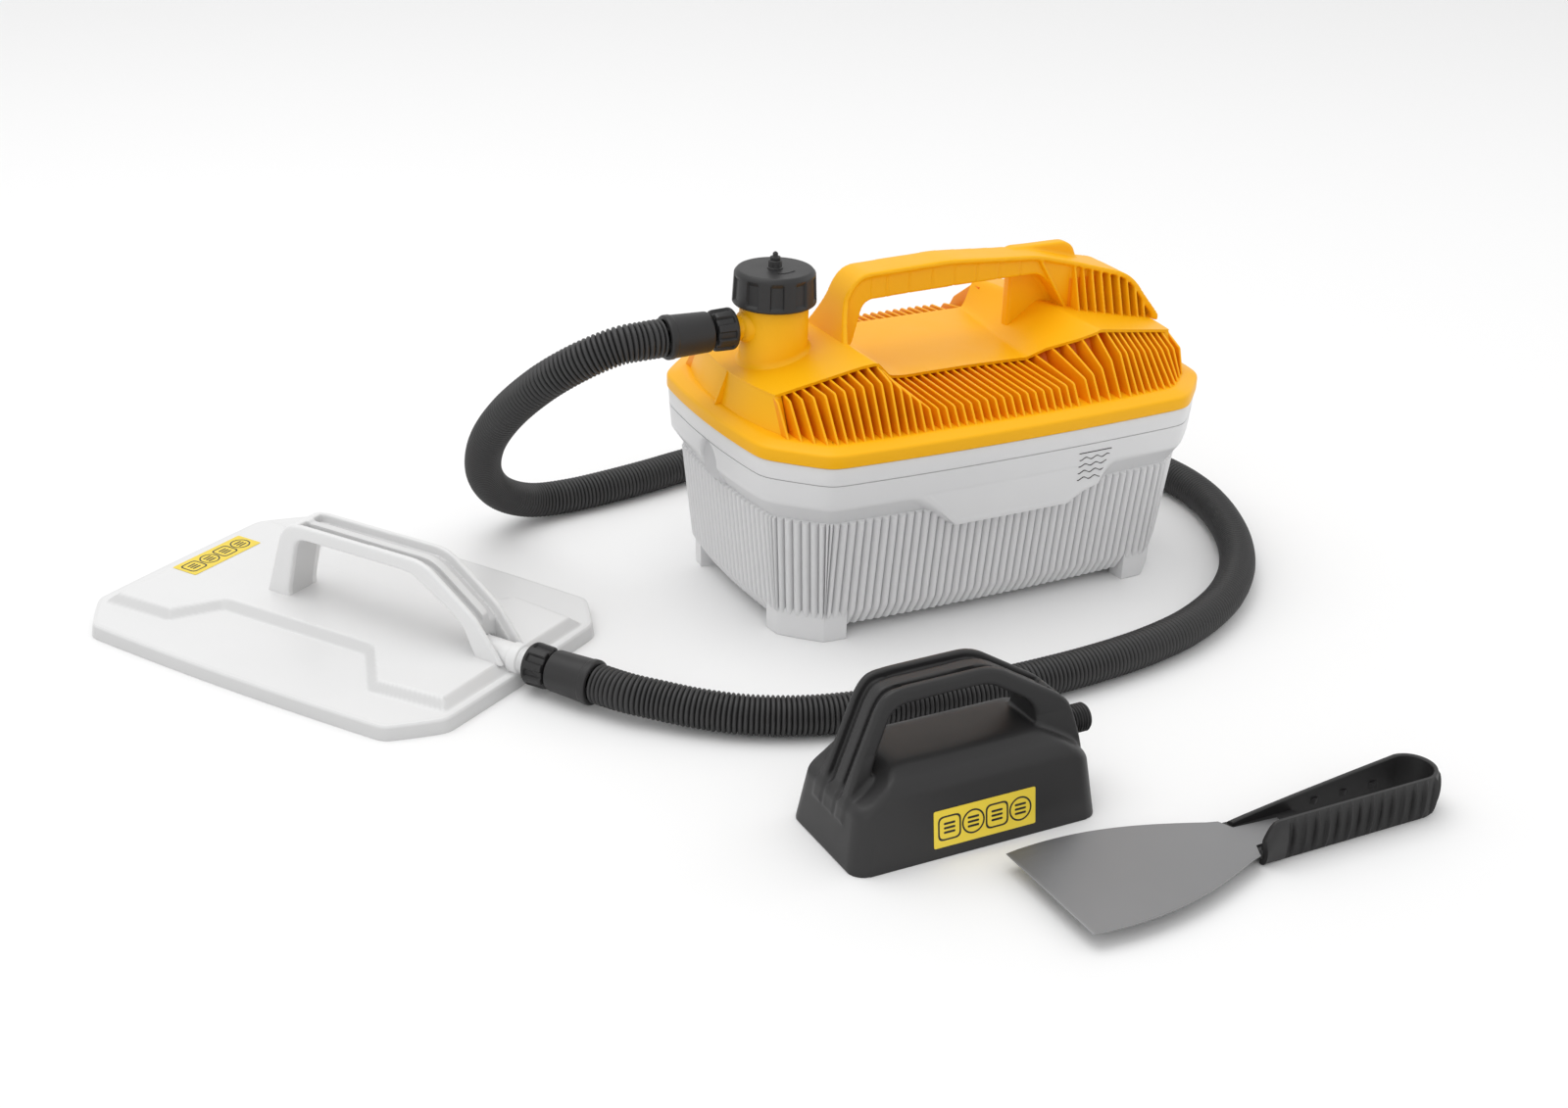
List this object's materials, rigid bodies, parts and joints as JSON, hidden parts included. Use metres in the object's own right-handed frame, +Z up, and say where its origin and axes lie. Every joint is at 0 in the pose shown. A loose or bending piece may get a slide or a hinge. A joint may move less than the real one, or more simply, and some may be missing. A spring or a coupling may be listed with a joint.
{
  "type": "wallpaper steamer",
  "caption": "Wallpaper steamer: water tank with ribbed yellow cover, carry handle and screw cap, hose, large steam plate, small steam head and a broad scraper.",
  "frame": {"origin": "centre of the footprint of everything but the hose and its cuffs, at floor level", "axes": "+Z up, +X along the tank from the filler cap towards the mains inlet, +Y away from the side with the small head and scraper"},
  "size_m": [0.8303, 0.7008, 0.249],
  "materials": {
    "tank_plastic": "fine moulded satin",
    "yellow_plastic": "moulded satin",
    "white_plastic": "moulded satin",
    "black_plastic": "fine textured satin",
    "terminal_plastic": "satin",
    "hose_rubber": "corrugated satin",
    "silicone_seal": "matte",
    "stainless_steel": "plain",
    "blade_steel": "satin ground",
    "brass": "plain",
    "lead_live_sleeve": "satin",
    "lead_neutral_sleeve": "satin",
    "lead_earth_sleeve": "satin",
    "label_yellow": "printed label"
  },
  "bodies": {
    "tank": {"tank_shell": "tank_plastic", "cover_shell": "yellow_plastic", "filler_neck": "yellow_plastic", "louvres_front_left": "yellow_plastic", "louvres_front_middle": "yellow_plastic", "louvres_front_right": "yellow_plastic", "louvres_rear_left": "yellow_plastic", "louvres_rear_middle": "yellow_plastic", "louvres_rear_right": "yellow_plastic", "carry_handle": "yellow_plastic", "inner_lid": "tank_plastic", "lid_gasket": "silicone_seal", "neck_seal": "silicone_seal", "lid_screw_1": "stainless_steel", "lid_screw_2": "stainless_steel", "lid_screw_3": "stainless_steel", "lid_screw_4": "stainless_steel", "lid_screw_5": "stainless_steel", "lid_screw_6": "stainless_steel", "heating_element": "stainless_steel", "element_gasket": "silicone_seal", "element_flange": "brass", "element_nut_1": "brass", "element_nut_2": "brass", "thermal_cutout": "black_plastic", "terminal_block": "terminal_plastic", "cord_gland": "black_plastic", "lead_live": "lead_live_sleeve", "lead_neutral": "lead_neutral_sleeve", "lead_earth": "lead_earth_sleeve", "union_washer_tank": "silicone_seal", "hose_cuff_tank": "black_plastic", "hose_tube": "hose_rubber"},
    "cap_carrier": {"cap_seal": "silicone_seal"},
    "cap": {"filler_cap": "black_plastic", "valve_body": "black_plastic", "valve_spring": "stainless_steel", "valve_seat_ring": "silicone_seal"},
    "valve_pin": {"valve_pin": "black_plastic"},
    "outlet_nut": {"union_nut_tank": "black_plastic"},
    "steam_plate": {"plate_shell": "white_plastic", "plate_handle": "white_plastic", "union_washer_plate": "silicone_seal", "hose_cuff_plate": "black_plastic"},
    "plate_nut": {"union_nut_plate": "black_plastic"},
    "steam_head": {"head_shell": "black_plastic", "head_handle": "black_plastic", "head_inlet": "black_plastic"},
    "scraper": {"scraper_blade": "blade_steel", "scraper_handle": "black_plastic"}
  },
  "joints": [
    {"name": "cap_rise", "type": "slide", "parent": "tank", "child": "cap_carrier", "axis": [0, 0, 1], "range_m": [0, 0.021]},
    {"name": "cap_turn", "type": "hinge", "parent": "cap_carrier", "child": "cap", "pos_m": [0.06749, 0.11161, 0.225], "axis": [0, 0, 1], "range_deg": [0, 1080]},
    {"name": "valve_lift", "type": "slide", "parent": "cap", "child": "valve_pin", "axis": [0, 0, 1], "range_m": [0, 0.003], "stiffness_N_per_m": 200, "springref_m": -0.001, "deforming": ["valve_spring"]},
    {"name": "outlet_nut_turn", "type": "hinge", "parent": "tank", "child": "outlet_nut", "pos_m": [0.03149, 0.11161, 0.1995], "axis": [1, 0, 0], "continuous": true},
    {"name": "plate_lift", "type": "slide", "parent": "tank", "child": "steam_plate", "axis": [0, 0, 1], "range_m": [0, 0.06]},
    {"name": "plate_nut_turn", "type": "hinge", "parent": "steam_plate", "child": "plate_nut", "pos_m": [-0.13186, 0.04196, 0.017], "axis": [0.5299, -0.848, 0], "continuous": true},
    {"name": "head_lift", "type": "slide", "parent": "tank", "child": "steam_head", "axis": [0, 0, 1], "range_m": [0, 0.08]},
    {"name": "scraper_lift", "type": "slide", "parent": "tank", "child": "scraper", "axis": [0, 0, 1], "range_m": [0, 0.08]}
  ],
  "couplings": [
    {"joint": "cap_rise", "follows": "cap_turn", "m_per_rad": 0.0011141}
  ]
}
